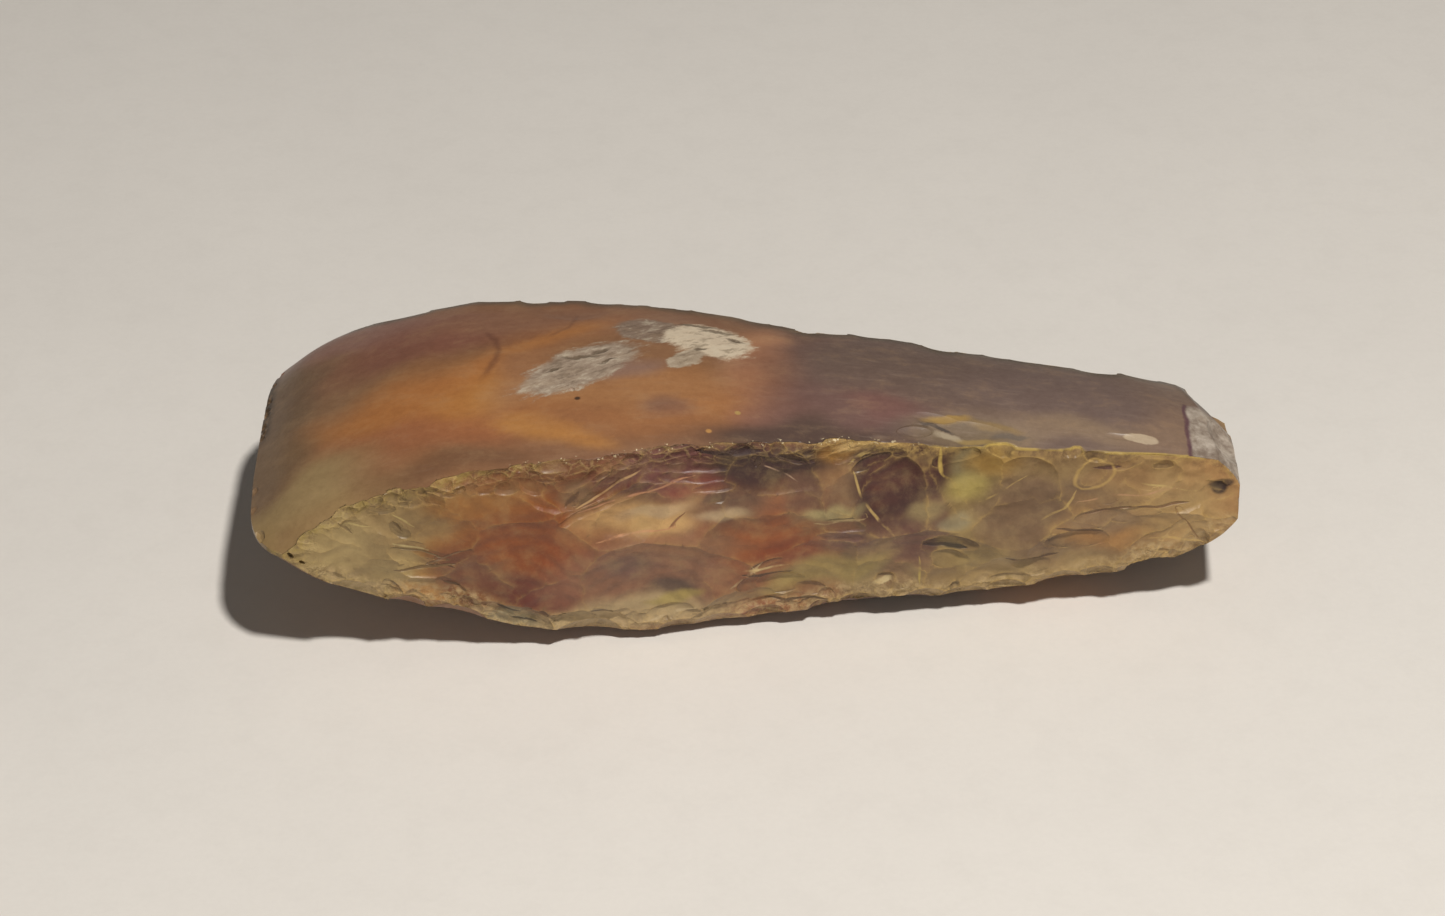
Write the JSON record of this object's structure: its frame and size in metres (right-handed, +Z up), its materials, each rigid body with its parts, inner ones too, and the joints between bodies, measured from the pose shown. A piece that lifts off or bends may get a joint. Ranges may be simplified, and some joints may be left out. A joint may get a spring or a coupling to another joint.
{
  "type": "stone hand axe",
  "caption": "Four-sided flint axe head with two ground broad faces, two flaked sides, a curved cutting edge and a blunt butt, lying on a broad face.",
  "frame": {"origin": "bottom centre of the bounding box, on the surface that the axe lies on", "axes": "+X from the cutting edge to the butt, +Y to the far flaked side, +Z up"},
  "size_m": [0.19, 0.0684, 0.0481],
  "materials": {
    "flint": "satin, ground smooth on the broad faces and flaked on the sides"
  },
  "bodies": {
    "root": {"axe_head": "flint"}
  },
  "joints": []
}
